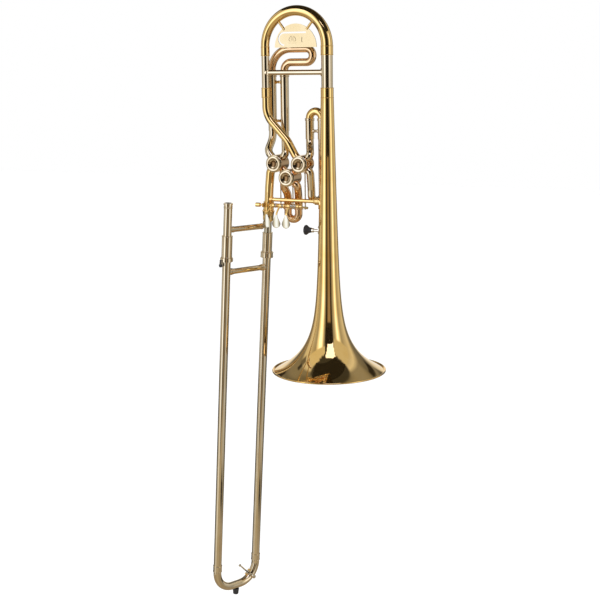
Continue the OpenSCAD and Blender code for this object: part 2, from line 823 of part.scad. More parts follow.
// Link from a stop arm's pin down to a lever's pin
module link_rod(v) {
    x = v[0] - pin_reach * cos(45);
    z = v[1] - pin_reach * sin(45);
    y0 = pin_y + 0.8;
    color("silver") difference() {
        union() {
            translate([x, y0, z]) rotate([-90, 0, 0]) cylinder(r = 3, h = 3);
            rod([x, link_y, z - 1], [x, link_y, link_z + 1], 1.3);
            translate([x - 1, link_y, link_z]) rotate([0, 90, 0]) cylinder(r = 3.4, h = 2);
            translate([x - 1.3, y0, z - 4]) cube([2.6, link_y + 1.3 - y0, 3]);
            // Lock nuts on the adjusting thread
            rod([x, link_y, z - 14], [x, link_y, z - 9], 2.2);
            rod([x, link_y, link_z + 9], [x, link_y, link_z + 14], 2.2);
        }
        translate([x, 0, z]) rotate([-90, 0, 0]) cylinder(r = 1.5 + fit, h = 60);
        translate([x - 20, link_y, link_z]) rotate([0, 90, 0]) cylinder(r = 1.9, h = 40);
    }
}

module link_rod_1() { link_rod(v1); }
module link_rod_2() { link_rod(v2); }
module link_rod_3() { link_rod(v3); }

// ---------- hand rest ----------

rest_z = -11.5;
module hand_rest_stem() {
    color("silver") difference() {
        union() {
            rod([88, 0, rest_z], [bell_x - 12, 0, rest_z], 2.6);
            rod([96, 0, rest_z], [99, 0, rest_z], 4.4);
            intersection() {
                translate([bell_x, 0, 0]) rotate_extrude() polygon(concat(
                    [for (z = [-25 : 5 : 5]) [bell_radius(z - rim_z) + 1.2, z]], [[5, 5], [5, -25]]));
                translate([bell_x - 30, 0, -10]) rotate([0, 90, 0]) cylinder(r = 8.5, h = 30);
            }
        }
        bell_fill();
    }
}

module hand_rest_cap() {
    color("black") translate([80.5, 0, rest_z]) rotate([0, 90, 0]) difference() {
        rotate_extrude() polygon([[0, 0], [6.8, 0], [8.8, 0.6], [9.9, 2.4], [9.7, 4.4], [7.6, 6.4],
            [5.9, 8.2], [5.2, 10.4], [5, 14], [0, 14]]);
        translate([0, 0, 7.5]) cylinder(r = 2.6, h = 20);
    }
}

// ---------- hand slide ----------

// Nut that draws the slide's tenon into the receiver. Its lip catches the tenon's collar
module lock_nut() {
    color("gold") upper_frame() rotate_extrude() polygon([
        [7.6, 2], [8.8, 2], [10.3, 5], [10.7, 14], [11.8, 22], [12.3, 22.2], [12.3, 23.5],
        [receiver_r + 0.1, 23.5], [receiver_r + 0.1, 5.9], [7.6, 5.9]]);
}

module slide_tenon() {
    color("silver") upper_frame() rotate_extrude() polygon([
        [6, 6], [8.9, 6], [8.9, 9], [tenon_r, 9], [tenon_r, 28], [6, 28]]);
}

module mouthpiece_receiver() {
    color("gold") slide_frame() translate([slide_gap, 0, 0]) difference() {
        rotate_extrude() {
            translate([0, -17.9]) square([outer_r, 63.1]);
            translate([0, 41.6]) square([9, 3.6]);
            for (z = [36, 38.4]) translate([outer_r, z]) circle(0.6);
        }
        // Socket of the mouthpiece's shank, and seat of the inner tube
        translate([0, 0, 10]) cylinder(r = shank_r, h = 60);
        translate([0, 0, -20]) cylinder(r = inner_r, h = 30);
    }
}

module inner_slide_tubes() {
    color("silver") slide_frame() for (x = [0, slide_gap]) {
        slide_ring(x, x == 0 ? -6 : -10, stocking_t, inner_r, inner_bore);
        slide_ring(x, stocking_t, inner_end, stocking_r, inner_bore);
    }
}

// Profile of a barrel of radius r that starts at t0, with a step at t1 down to radius r2
module barrel_profile(r, t0, t1, r2, t2) {
    difference() {
        union() {
            translate([inner_r, -t1]) square([r - inner_r, t1 - t0]);
            translate([inner_r, -t2]) square([r2 - inner_r, t2 - t1]);
            for (t = [t0 + 1, t1 - 1]) translate([r, -t]) circle(0.6);
        }
        translate([0, -t2 - 1]) square([barrel_bore, t2 + 1 - t0 - 3]);
    }
}

// Caps at the top of each pair of tubes
module cork_barrels() {
    color("goldenrod") slide_frame() {
        rotate_extrude() {
            barrel_profile(9.9, 20.2, 59.4, 12.4, 70.6);
            for (t = [60.4, 69.6]) translate([12.4, -t]) circle(0.4);
        }
        translate([slide_gap, 0, 0]) rotate_extrude() {
            barrel_profile(10.4, 17.9, 61.2, 9.6, 69.4);
            translate([9.6, -69.4]) square([0.7, 1.1]);
        }
    }
}

module barrel_corks() {
    color("black") slide_frame() for (s = [[0, 23.2], [slide_gap, 20.9]])
        slide_ring(s[0], s[1], outer_top_t, barrel_bore - 0.1, inner_r);
}

// Brace between the two inner tubes: a wide tube with a thinner sleeve at its lower end
module inner_brace() {
    color("goldenrod") slide_frame() translate([0, 0, -upper_brace_t]) difference() {
        union() {
            rod([0, 0, 0], [17, 0, 0], 3.7);
            rod([15, 0, 0], [slide_gap, 0, 0], 5.6);
            rod([15, 0, 0], [17, 0, 0], 6.1);
            rod([slide_gap - 14, 0, 0], [slide_gap, 0, 0], 6.1);
            rod([0, 0, 0], [9.4, 0, 0], 5);
        }
        cylinder(r = inner_r, h = 60, center = true);
        translate([slide_gap, 0, 0]) cylinder(r = outer_r, h = 60, center = true);
    }
}

// Ring that turns under the upper barrel to hold the slide closed, with its thumb piece
module slide_lock_ring() {
    t0 = 61.3;
    t1 = 68.2;
    color("gold") slide_frame() translate([slide_gap, 0, 0]) difference() {
        union() {
            slide_ring(0, t0, t1, 12.2, 9.6 + fit);
            slide_ring(0, t0 + 1, t0 + 2.4, 12.6, 9.6 + fit);
            slide_ring(0, t1 - 2.4, t1 - 1, 12.6, 9.6 + fit);
        }
    }
    color("black") slide_frame() translate([slide_gap, 0, 0]) {
        translate([11.4, -3, -77]) cube([3.2, 6, 12]);
        translate([11.4, 0, -75.4]) rotate([0, 90, 0]) cylinder(r = 3.4, h = 4.4);
    }
}

module outer_slide_tubes() {
    color("tan") slide_frame() for (x = [0, slide_gap]) slide_ring(x, outer_top_t, bow_joint_t, outer_r, outer_in_r);
}

module outer_brace() {
    color("goldenrod") slide_frame() translate([0, 0, -lower_brace_t]) difference() {
        union() {
            rod([0, 0, 0], [slide_gap, 0, 0], 5.5);
            for (x = [0, slide_gap - 15]) rod([x, 0, 0], [x + 15, 0, 0], 6.2);
            for (x = [10, slide_gap - 12]) rod([x, 0, 0], [x + 2, 0, 0], 6.8);
        }
        for (x = [0, slide_gap]) translate([x, 0, 0]) cylinder(r = outer_r, h = 60, center = true);
    }
}

bow_path = [[0, 0, -bow_joint_t], [0, 0, -bow_low_t], [slide_gap, 0, -bow_low_t], [slide_gap, 0, -bow_joint_t]];

module slide_bow() {
    color("tan") slide_frame() tube_path(bow_path, [bow_corner, bow_corner], outer_r, outer_r - 0.7);
}

module slide_ferrules() {
    color("goldenrod") slide_frame() for (x = [0, slide_gap])
        translate([x, 0, 0]) ferrule(outer_r, -bow_joint_t - 7, -bow_joint_t + 7, 0.8);
}

module bow_bumper() {
    color("black") slide_frame() difference() {
        translate([slide_gap / 2, 0, -bow_low_t - 21.2]) cylinder(r1 = 5.6, r2 = 6.6, h = 21.2);
        rod([0, 0, -bow_low_t], [slide_gap, 0, -bow_low_t], outer_r);
    }
}

// Frame of the water key: origin in the middle of the bow's tube, x outwards, z along the tube
module key_frame() {
    slide_frame() translate([bow_corner, 0, -bow_low_t + bow_corner]) rotate([0, 135, 0])
        translate([bow_corner, 0, 0]) children();
}

module key_saddle() {
    color("gold") key_frame() difference() {
        union() {
            for (z = [-6.5, 4]) translate([key_pivot - 2.2, -2.2, z]) cube([8, 4.4, 2.5]);
            translate([key_pivot, 0, -7]) cylinder(r = 1, h = 14);
            // Nipple with its hole
            translate([0, 10.2, 0]) rotate([90, 0, 0]) cylinder(r = 3.4, h = 6);
        }
        translate([0, 20, 0]) rotate([90, 0, 0]) cylinder(r = 1.6, h = 20);
        key_tube_fill();
    }
}

module key_tube_fill() {
    translate([-bow_corner, 0, 0]) rotate([90, 0, 0]) rotate([0, 0, -45])
        rotate_extrude(angle = 90) translate([bow_corner, 0]) circle(outer_r + 0.05);
}

module water_key() {
    tip = key_pivot - 31;
    color("dimgray") key_frame() difference() {
        union() {
            translate([key_pivot, 0, -3.9]) cylinder(r = 2.6, h = 7.8);
            // Finger arm, which ends in a small pad
            rod([key_pivot, 0, 0], [tip, 1.5, 0], 1.2);
            translate([tip, 1.5, 0]) rotate([90, 0, 0]) cylinder(r = 3, h = 1.6, center = true);
            // Arm round the tube to the cork
            rod([key_pivot, 0, 0], [key_pivot + 1.2, 13.5, 0], 1.4);
            translate([key_pivot + 1.2, 13.5, 0]) sphere(1.75);
            rod([key_pivot + 1.2, 13.5, 0], [0, 13.5, 0], 1.4);
            translate([0, 14.2, 0]) rotate([90, 0, 0]) cylinder(r = 4, h = 2.2);
        }
        translate([key_pivot, 0, -10]) cylinder(r = 1 + fit, h = 20);
    }
}

module key_cork() {
    color("tan") key_frame() translate([0, 12, 0]) rotate([90, 0, 0]) cylinder(r = 3.6, h = 1.8);
}

at_socket() {
    bell();
    bell_rim_wire();
    sleeve_ferrules();
    tuning_sleeves();
    tuning_brace();
    tuning_bow();
    tuning_legs();
    bow_ferrules();
    ornament_plate();
    plate_posts();
    gooseneck();
    neck_tube();
    receiver();
    valve_links();
    valve_casing_1();
    valve_casing_2();
    valve_casing_3();
    rotor_bearings();
    valve_caps();
    stop_corks();
    rotor_1();
    rotor_2();
    rotor_3();
    stop_arm_1();
    stop_arm_2();
    stop_arm_3();
    f_loop_tubes();
    f_loop_braces();
    f_slide();
    loop_2_tubes();
    loop_2_slide();
    loop_3_tubes();
    loop_3_slide();
    bell_brace();
    lever_rod();
    lever_1();
    lever_2();
    lever_3();
    lever_springs();
    link_rod_1();
    link_rod_2();
    link_rod_3();
    hand_rest_stem();
    hand_rest_cap();
    lock_nut();
    slide_tenon();
    mouthpiece_receiver();
    inner_slide_tubes();
    cork_barrels();
    barrel_corks();
    inner_brace();
    slide_lock_ring();
    outer_slide_tubes();
    outer_brace();
    slide_bow();
    slide_ferrules();
    bow_bumper();
    key_saddle();
    water_key();
    key_cork();
}
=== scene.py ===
# Looks of the trombone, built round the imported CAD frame. Metres, the frame's own axes.
import json
import math

import bmesh
import bpy
from mathutils import Matrix, Vector


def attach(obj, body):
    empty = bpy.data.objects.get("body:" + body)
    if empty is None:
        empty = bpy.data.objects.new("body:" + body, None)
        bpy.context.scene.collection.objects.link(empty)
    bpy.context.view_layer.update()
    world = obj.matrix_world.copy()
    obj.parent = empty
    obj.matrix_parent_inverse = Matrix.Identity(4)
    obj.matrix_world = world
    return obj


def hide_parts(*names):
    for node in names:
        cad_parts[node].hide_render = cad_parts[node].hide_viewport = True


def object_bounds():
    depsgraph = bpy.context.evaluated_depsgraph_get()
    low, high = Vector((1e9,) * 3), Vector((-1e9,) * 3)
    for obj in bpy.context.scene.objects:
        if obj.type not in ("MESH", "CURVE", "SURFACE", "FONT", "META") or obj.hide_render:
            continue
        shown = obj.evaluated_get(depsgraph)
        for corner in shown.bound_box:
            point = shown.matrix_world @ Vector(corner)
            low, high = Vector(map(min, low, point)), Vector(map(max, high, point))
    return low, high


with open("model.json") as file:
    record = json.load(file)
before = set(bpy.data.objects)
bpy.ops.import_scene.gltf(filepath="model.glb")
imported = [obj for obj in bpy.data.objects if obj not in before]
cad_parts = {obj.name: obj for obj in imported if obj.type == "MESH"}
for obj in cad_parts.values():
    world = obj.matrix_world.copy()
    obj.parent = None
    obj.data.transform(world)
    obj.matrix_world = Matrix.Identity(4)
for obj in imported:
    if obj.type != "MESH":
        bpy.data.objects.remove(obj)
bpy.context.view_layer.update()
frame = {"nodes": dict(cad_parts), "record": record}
nodes = frame["nodes"]

# ---------------------------------------------------------------- material nodes
NOISE_LOW, NOISE_HIGH = 0.35, 0.65  # most of a noise's values lie between these


def node_tree(name):
    """A new material, its node tree and its surface node."""
    mat = bpy.data.materials.new(name)
    mat.use_nodes = True
    tree = mat.node_tree
    return mat, tree, tree.nodes["Principled BSDF"]


def link(tree, a, b):
    tree.links.new(a, b)


def coords(tree, scale):
    """The object's own coordinates, scaled."""
    place = tree.nodes.new("ShaderNodeTexCoord")
    mapping = tree.nodes.new("ShaderNodeMapping")
    mapping.inputs["Scale"].default_value = scale
    link(tree, place.outputs["Object"], mapping.inputs["Vector"])
    return mapping.outputs["Vector"]


def noise(tree, vector, scale, detail=3.0, rough=0.55):
    n = tree.nodes.new("ShaderNodeTexNoise")
    n.inputs["Scale"].default_value = scale
    n.inputs["Detail"].default_value = detail
    n.inputs["Roughness"].default_value = rough
    link(tree, vector, n.inputs["Vector"])
    return n.outputs["Fac"]


def spread(tree, value, low, high):
    """A noise's values stretched over low to high."""
    m = tree.nodes.new("ShaderNodeMapRange")
    m.inputs["From Min"].default_value = NOISE_LOW
    m.inputs["From Max"].default_value = NOISE_HIGH
    m.inputs["To Min"].default_value = low
    m.inputs["To Max"].default_value = high
    link(tree, value, m.inputs["Value"])
    return m.outputs["Result"]


def two_tone(tree, value, a, b, start=NOISE_LOW, end=NOISE_HIGH):
    """Colour a where a noise is under start, b where it is over end."""
    ramp = tree.nodes.new("ShaderNodeValToRGB")
    ramp.color_ramp.elements[0].position = start
    ramp.color_ramp.elements[0].color = (*a, 1)
    ramp.color_ramp.elements[1].position = end
    ramp.color_ramp.elements[1].color = (*b, 1)
    link(tree, value, ramp.inputs["Fac"])
    return ramp.outputs["Color"]


def bump(tree, height, strength, distance):
    b = tree.nodes.new("ShaderNodeBump")
    b.inputs["Strength"].default_value = strength
    b.inputs["Distance"].default_value = distance
    link(tree, height, b.inputs["Height"])
    return b.outputs["Normal"]


# ---------------------------------------------------------------- materials
DRIFT_SCALE = 22
MARKS_STRETCH = (900, 900, 60)
RIPPLE_SCALE = 90
RIPPLE_DEPTH = 0.0004
COAT_ROUGHNESS = 0.05
COAT_IOR = 1.5


def metal(name, bright, deep, roughness, coat=0.0, ripple=0.03):
    """Polished metal: slow colour drift, fine polishing marks in the roughness, a faint ripple."""
    mat, tree, bsdf = node_tree(name)
    at = coords(tree, (1, 1, 1))
    drift = two_tone(tree, noise(tree, at, DRIFT_SCALE), deep, bright, 0.3, 0.6)
    link(tree, drift, bsdf.inputs["Base Color"])
    marks = noise(tree, coords(tree, MARKS_STRETCH), 1.0, 4.0, 0.6)
    link(tree, spread(tree, marks, *roughness), bsdf.inputs["Roughness"])
    waves = bump(tree, noise(tree, at, RIPPLE_SCALE, 2.0), ripple, RIPPLE_DEPTH)
    link(tree, waves, bsdf.inputs["Normal"])
    bsdf.inputs["Metallic"].default_value = 1.0
    bsdf.inputs["Coat Weight"].default_value = coat
    bsdf.inputs["Coat Roughness"].default_value = COAT_ROUGHNESS
    bsdf.inputs["Coat IOR"].default_value = COAT_IOR
    return mat


def grained(name, a, b, scale, roughness, depth):
    """Dull solid with a fine grain in its colour and its surface."""
    mat, tree, bsdf = node_tree(name)
    grain = noise(tree, coords(tree, (1, 1, 1)), scale, 5.0, 0.6)
    link(tree, two_tone(tree, grain, a, b), bsdf.inputs["Base Color"])
    link(tree, bump(tree, grain, 0.35, depth), bsdf.inputs["Normal"])
    bsdf.inputs["Roughness"].default_value = roughness
    return mat


def gold_lacquer():
    return metal("gold_lacquer", (0.95, 0.66, 0.27), (0.90, 0.59, 0.20), (0.03, 0.06), 0.3, 0.015)


def pale_brass():
    return metal("pale_brass", (0.79, 0.66, 0.46), (0.72, 0.58, 0.38), (0.035, 0.07), 0.25, 0.015)


def rose_brass():
    return metal("rose_brass", (0.90, 0.62, 0.36), (0.80, 0.50, 0.25), (0.04, 0.08), 0.25, 0.02)


def nickel_silver():
    return metal("nickel_silver", (0.86, 0.80, 0.68), (0.78, 0.71, 0.58), (0.05, 0.10))


def bright_chrome():
    return metal("bright_chrome", (0.63, 0.58, 0.45), (0.59, 0.54, 0.41), (0.03, 0.06), 0.0, 0.015)


def satin_brass():
    return metal("satin_brass", (0.68, 0.525, 0.30), (0.63, 0.48, 0.25), (0.16, 0.22), 0.0, 0.02)


def bowl_brass():
    """Dark brass: painted shade lining the caps' hollows, and the plate's engraved marks."""
    return metal("bowl_brass", (0.30, 0.18, 0.08), (0.22, 0.12, 0.05), (0.05, 0.09), 0.1, 0.03)


def black_rubber():
    return grained("black_rubber", (0.012, 0.012, 0.013), (0.03, 0.03, 0.032), 1500, 0.5, 0.0001)


def cork():
    return grained("cork", (0.36, 0.21, 0.10), (0.55, 0.37, 0.20), 1200, 0.8, 0.0003)


FINISHES = (
    gold_lacquer, pale_brass, rose_brass, nickel_silver, bright_chrome, satin_brass, bowl_brass,
    black_rubber, cork,
)
MATERIALS = {finish.__name__: finish() for finish in FINISHES}
# CAD nodes whose finish isn't that of their slot
FINISH_OF_NODE = {
    "tuning_brace": "pale_brass",
    "valve_casing_1": "rose_brass",
    "valve_casing_2": "rose_brass",
    "valve_casing_3": "rose_brass",
}


def finish_nodes():
    """Give each CAD node its material."""
    finish_of = {part["node"]: part["material_slot"] for part in frame["record"]["subparts"]}
    finish_of.update(FINISH_OF_NODE)
    for name, obj in nodes.items():
        for slot in obj.material_slots:
            slot.link = "OBJECT"
            slot.material = MATERIALS[finish_of[name]]


# ---------------------------------------------------------------- mesh tools, millimetres in
MM = 0.001
BODY = "bell_section"
# The pieces are drawn round the receiver's axis. This is the frame's origin, the mouthpiece socket
SOCKET = Vector((-37.9438, -90.8637, 30.4305))
WELD = 1e-6  # metres


def make(name, verts, faces, slot, body, replaced=(), sharp=35, place=None):
    """A mesh piece from points in millimetres, shaded smooth with sharp edges kept."""
    mesh = bpy.data.meshes.new(name)
    place = place or Matrix.Identity(4)
    mesh.from_pydata([(place @ Vector(v) - SOCKET) * MM for v in verts], [], faces)
    bm = bmesh.new()
    bm.from_mesh(mesh)
    bmesh.ops.remove_doubles(bm, verts=bm.verts, dist=WELD)
    bmesh.ops.recalc_face_normals(bm, faces=bm.faces)
    bm.to_mesh(mesh)
    bm.free()
    for p in mesh.polygons:
        p.use_smooth = True
    mesh.set_sharp_from_angle(angle=math.radians(sharp))
    obj = bpy.data.objects.new(name, mesh)
    bpy.context.scene.collection.objects.link(obj)
    mesh.materials.append(MATERIALS[slot])
    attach(obj, body)
    if replaced:
        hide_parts(*replaced)
    return obj


def axis_place(at, axis):
    """Matrix whose z axis is axis and whose origin is at."""
    z = Vector(axis).normalized()
    turn = z.to_track_quat("Z", "Y").to_matrix().to_4x4()
    return Matrix.Translation(Vector(at)) @ turn


def lathe_mesh(profile, steps, closed=False):
    """Points and faces of a profile [(radius, z)] turned about z. closed joins its ends."""
    verts, faces = [], []
    n = len(profile)
    for r, z in profile:
        for j in range(steps):
            a = 2 * math.pi * j / steps
            verts.append((r * math.cos(a), r * math.sin(a), z))
    for i in range(n if closed else n - 1):
        k = (i + 1) % n
        for j in range(steps):
            m = (j + 1) % steps
            faces.append((i * steps + j, i * steps + m, k * steps + m, k * steps + j))
    return verts, faces


def turned(profile, steps, at, axis, closed=False):
    """A lathe mesh put at a place along an axis."""
    return moved(lathe_mesh(profile, steps, closed), axis_place(at, axis))


def rounded(corners, radius, steps=3):
    """The outline of corners with each inner corner rounded off."""
    out = [corners[0]]
    for a, b, c in zip(corners, corners[1:], corners[2:]):
        a, b, c = Vector(a), Vector(b), Vector(c)
        la, lc = (a - b).length, (c - b).length
        cut = min(radius, la * 0.45, lc * 0.45)
        p, q = b + (a - b) * cut / la, b + (c - b) * cut / lc
        for k in range(steps + 1):
            t = k / steps
            out.append(tuple((1 - t) ** 2 * p + 2 * t * (1 - t) * b + t * t * q))
    out.append(corners[-1])
    return out


def rounded_disc(radius, low, high, edge):
    """Profile of a solid disc from low to high with rounded rims."""
    return rounded([(0, low), (radius, low), (radius, high), (0, high)], edge)


def path_frames(points, first):
    """The (side, up) directions at each point of a path, without twist. first is the start's side."""
    n = len(points)
    tangents = []
    for i in range(n):
        t = points[min(i + 1, n - 1)] - points[max(i - 1, 0)]
        tangents.append(t.normalized())
    side = Vector(first) if first else tangents[0].orthogonal()
    side = (side - side.dot(tangents[0]) * tangents[0]).normalized()
    out = []
    for t in tangents:
        side = (side - side.dot(t) * t).normalized()
        out.append((side.copy(), t.cross(side)))
    return out


def sweep_mesh(points, section, first=None):
    """Points and faces of a section swept along points. section(i) lists (side, up) offsets."""
    points = [Vector(p) for p in points]
    verts, faces = [], []
    m = len(section(0))
    for i, (p, (side, up)) in enumerate(zip(points, path_frames(points, first))):
        verts += [tuple(p + side * u + up * v) for u, v in section(i)]
    for i in range(len(points) - 1):
        for j in range(m):
            k = (j + 1) % m
            faces.append((i * m + j, i * m + k, (i + 1) * m + k, (i + 1) * m + j))
    faces.append(tuple(range(m - 1, -1, -1)))
    faces.append(tuple((len(points) - 1) * m + j for j in range(m)))
    return verts, faces


def circle_section(radii, steps):
    """Round section. radii(i) is the radius at the path's point i."""
    turns = [2 * math.pi * j / steps for j in range(steps)]
    return lambda i: [(radii(i) * math.cos(a), radii(i) * math.sin(a)) for a in turns]


def strap(points, width, thick, first):
    """Flat bar with bevelled edges along a path. width and thick are lists, one value per point."""

    def section(i):
        w, t = width[i] / 2, thick[i] / 2
        e = min(t, w) * 0.55
        right = [(w - e, -t), (w, -t + e), (w, t - e)]
        left = [(-w + e, t), (-w, t - e), (-w, -t + e), (-w + e, -t)]
        return [(w - e, t)] + left + right

    return sweep_mesh(points, section, first)


def curve_points(corners, n):
    """Smooth path through corners, with n points from each to the next."""
    pts = [Vector(c) for c in corners]
    pts = [2 * pts[0] - pts[1]] + pts + [2 * pts[-1] - pts[-2]]
    out = []
    for i in range(1, len(pts) - 2):
        a, b, c, d = pts[i - 1:i + 3]
        square = 2 * a - 5 * b + 4 * c - d
        cube = 3 * b - a - 3 * c + d
        for k in range(n):
            t = k / n
            out.append(0.5 * ((2 * b) + (c - a) * t + square * t * t + cube * t ** 3))
    out.append(pts[-2])
    return out


def joined(*parts):
    """One list of points and faces from several."""
    verts, faces = [], []
    for v, f in parts:
        base = len(verts)
        verts += v
        faces += [tuple(i + base for i in face) for face in f]
    return verts, faces


def moved(part, matrix):
    return [tuple(matrix @ Vector(v)) for v in part[0]], part[1]


# ---------------------------------------------------------------- bell
BELL_X = 130.0
RIM_Z = -286.7
BELL_TOP = 241.0
BELL_LENGTH = BELL_TOP - RIM_Z
BELL_RIM_R = 110.6
BELL_TAIL_R = 12.4
TAPER = 18.4  # what the slow taper adds to the radius
TAPER_POWER = 0.64
FLARE = BELL_RIM_R - BELL_TAIL_R - TAPER  # what the flare adds at the rim
FLARE_FADE = 39.6  # height over which the flare falls to about a third
BELL_WALL = 0.85
BELL_RINGS = 150
RING_SPREAD = 2.1  # rings crowd towards the rim
FIRST_RING = 0.9


def bell_radius(d):
    """Outer radius at a height d over the rim."""
    return BELL_TAIL_R + TAPER * (1 - (d / BELL_LENGTH) ** TAPER_POWER) + FLARE * math.exp(-d / FLARE_FADE)


def bell_slope(d, reach=0.25):
    return (bell_radius(d + reach) - bell_radius(max(d - reach, 0))) / (2 * reach)


def add_bell():
    """Sheet bell. Its inner face lies one wall in from the outer, square to the curve."""
    heights = []
    for i in range(BELL_RINGS + 1):
        heights.append(FIRST_RING + (BELL_LENGTH - FIRST_RING) * (i / BELL_RINGS) ** RING_SPREAD)
    outer = [(bell_radius(d), RIM_Z + d) for d in heights]
    inner = []
    for d in heights:
        s = bell_slope(d)
        n = math.sqrt(1 + s * s)
        inner.append((bell_radius(d) - BELL_WALL / n, RIM_Z + d + BELL_WALL * s / n))
    inner[-1] = (outer[-1][0] - BELL_WALL, BELL_TOP)
    part = turned(outer + inner[::-1], 192, (BELL_X, 0, 0), (0, 0, 1), True)
    make("bell_shell", *part, "gold_lacquer", BODY, ["bell"], 60)


# ---------------------------------------------------------------- main bow
BOW_R = BELL_X / 2  # of the bow's centre line, which runs from the neck over to the bell
BOW_Z = 338.0  # of the bow's ends
BOW_TUBE_R = 8.0
BOW_GROWTH = 3.5  # the tube widens by this towards the bell
BOW_STEPS = 96


def add_bow():
    pts, radii = [], []
    for i in range(BOW_STEPS + 1):
        a = math.pi * (1 - i / BOW_STEPS)
        pts.append((BOW_R + BOW_R * math.cos(a), 0, BOW_Z + BOW_R * math.sin(a)))
        radii.append(BOW_TUBE_R + BOW_GROWTH * i / BOW_STEPS)
    tube = sweep_mesh(pts, circle_section(lambda i: radii[i], 64), (0, 1, 0))
    make("main_bow", *tube, "gold_lacquer", "tuning_slide", ["tuning_bow"], 40)


# ---------------------------------------------------------------- valve caps
VALVES = ((23.3, 116.0), (76.8, 116.0), (50.05, 89.25))  # x and z of the rotors' axes
CASING_FRONT = -16
DISH_STEPS = 14


def on_valves(profile):
    """A profile turned about each rotor's axis, on the front of its casing."""
    return joined(*[turned(profile, 96, (x, CASING_FRONT, z), (0, -1, 0)) for x, z in VALVES])


def dish(start, reach, depth, power):
    """Profile of a hollow that rises outwards from start, (radius, height)."""
    r, h = start
    steps = range(1, DISH_STEPS + 1)
    rise = [(r + reach * k / DISH_STEPS, h + depth * (k / DISH_STEPS) ** power) for k in steps]
    return [start] + rise


def add_caps():
    rim = [(10.9, 4.86), (11.6, 4.98), (12.9, 5.0), (13.9, 4.75), (14.4, 4.2), (14.5, 3.4)]
    groove = [(14.4, 2.7), (14.0, 2.3), (14.0, 2.0), (14.6, 1.8)]
    skirt = [(15.6, 1.55), (16.4, 1.2), (16.85, 0.7), (16.9, 0.3), (16.9, 0.0), (0.0, 0.0)]
    profile = [(0.0, 0.5)] + dish((0.5, 0.56), 9.9, 4.0, 1.12) + rim + groove + skirt
    make("caps", *on_valves(profile), "pale_brass", BODY, ["valve_caps"], 30)


def add_cap_bowls():
    """Dark lining over the caps' hollows: painted shade where the hollows lie in shadow."""
    back = [(9.85, 4.3), (9.6, 4.0), (0.0, 0.4)]
    profile = [(0.0, 0.66)] + dish((0.5, 0.7), 9.3, 3.74, 1.5) + back
    make("cap_bowls", *on_valves(profile), "bowl_brass", BODY, (), 30)


# ---------------------------------------------------------------- lever springs
HINGE = Vector((0, -13, 35))
COIL_R = 3.9
WIRE_R = 0.42
COIL_STEPS = 20
COILS = ((23.5, 2.6, 1.0), (38.7, 2.6, 1.0), (56.6, 12.0, 1.05))  # start, turns and pitch


def coil(start, turns, pitch):
    """Wire wound round the hinge rod."""
    pts = []
    for i in range(int(turns * COIL_STEPS) + 1):
        a = 2 * math.pi * i / COIL_STEPS
        y, z = HINGE.y + COIL_R * math.cos(a), HINGE.z + COIL_R * math.sin(a)
        pts.append((start + pitch * i / COIL_STEPS, y, z))
    return sweep_mesh(pts, circle_section(lambda i: WIRE_R, 8))


def add_springs():
    parts = [coil(*c) for c in COILS]
    make("spring_coils", *joined(*parts), "nickel_silver", BODY, ["lever_springs"], 60)


# ---------------------------------------------------------------- thumb levers, drawn from the hinge
REACH = 38.65  # from the hinge to the connecting rod's pin
HALF_SWING = math.radians(21.08) / 2
BARREL_R = 4.2
BARREL_BORE_R = 1.6
WAIST_R = 3.4
ARM_WIDTH = 3.0
PADDLE_TOP, PADDLE_FOOT = -15.9, -41.95
PADDLE_FRONT, PADDLE_BACK = -16.6, -15.1
PADDLE_CROWN_R = 40.0
PADDLE_NECK_R, PADDLE_FOOT_R = 2.6, 8.75
PADDLE_DROP = 23.35
PADDLE_EDGE = 0.3
# Body, then along the hinge: paddle, neck, arm, the barrel's ends, its spring's ends and the rod's pin
LEVERS = {
    "lever_1": ("lever_body_1", 12, 16.5, 20.4, (13.8, 28.8), (23, 26.6), 16.23),
    "lever_2": ("lever_body_3", 32.5, 34, 50.45, (30, 45.5), (38.2, 41.8), 42.98),
    "lever_3": ("lever_body_2", 53.5, 53.4, 73.6, (47, 76), (56, 70), 69.73),
}


def paddle_width(t):
    """Half width of the drop-shaped plate, t from 0 at its neck to 1 at its foot."""
    neck, foot = PADDLE_NECK_R, PADDLE_FOOT_R
    side_top, side_foot = 1.2, PADDLE_DROP - 4
    h = t * (PADDLE_DROP + foot + neck) - neck
    if h > side_foot:
        down = (h - side_foot) * foot / (foot + 4)
        return math.sqrt(max(0.0, foot * foot - down * down))
    if h < side_top:
        return math.sqrt(max(0.0, neck * neck - min(h, 0.0) ** 2))
    return foot + (neck - foot) * (side_foot - h) / (side_foot - side_top)


def paddle_mesh(x):
    """Crowned thumb plate with a drop-shaped outline, in front of the hinge."""
    cols, rows = 18, 30
    front, back = [], []
    for r in range(rows + 1):
        t = 0.5 - 0.5 * math.cos(math.pi * r / rows)
        z = PADDLE_TOP + (PADDLE_FOOT - PADDLE_TOP) * t
        w = max(paddle_width(t), 0.3)
        for c in range(cols + 1):
            u = 2 * c / cols - 1
            curl = 0.55 * (2 * t - 1) ** 4
            bulge = (u * w) ** 2 / (2 * PADDLE_CROWN_R) + curl
            front.append((x + u * w, PADDLE_FRONT + bulge, z))
            back.append((x + u * w, PADDLE_BACK + bulge, z))
    return front + back, paddle_faces(cols, rows)


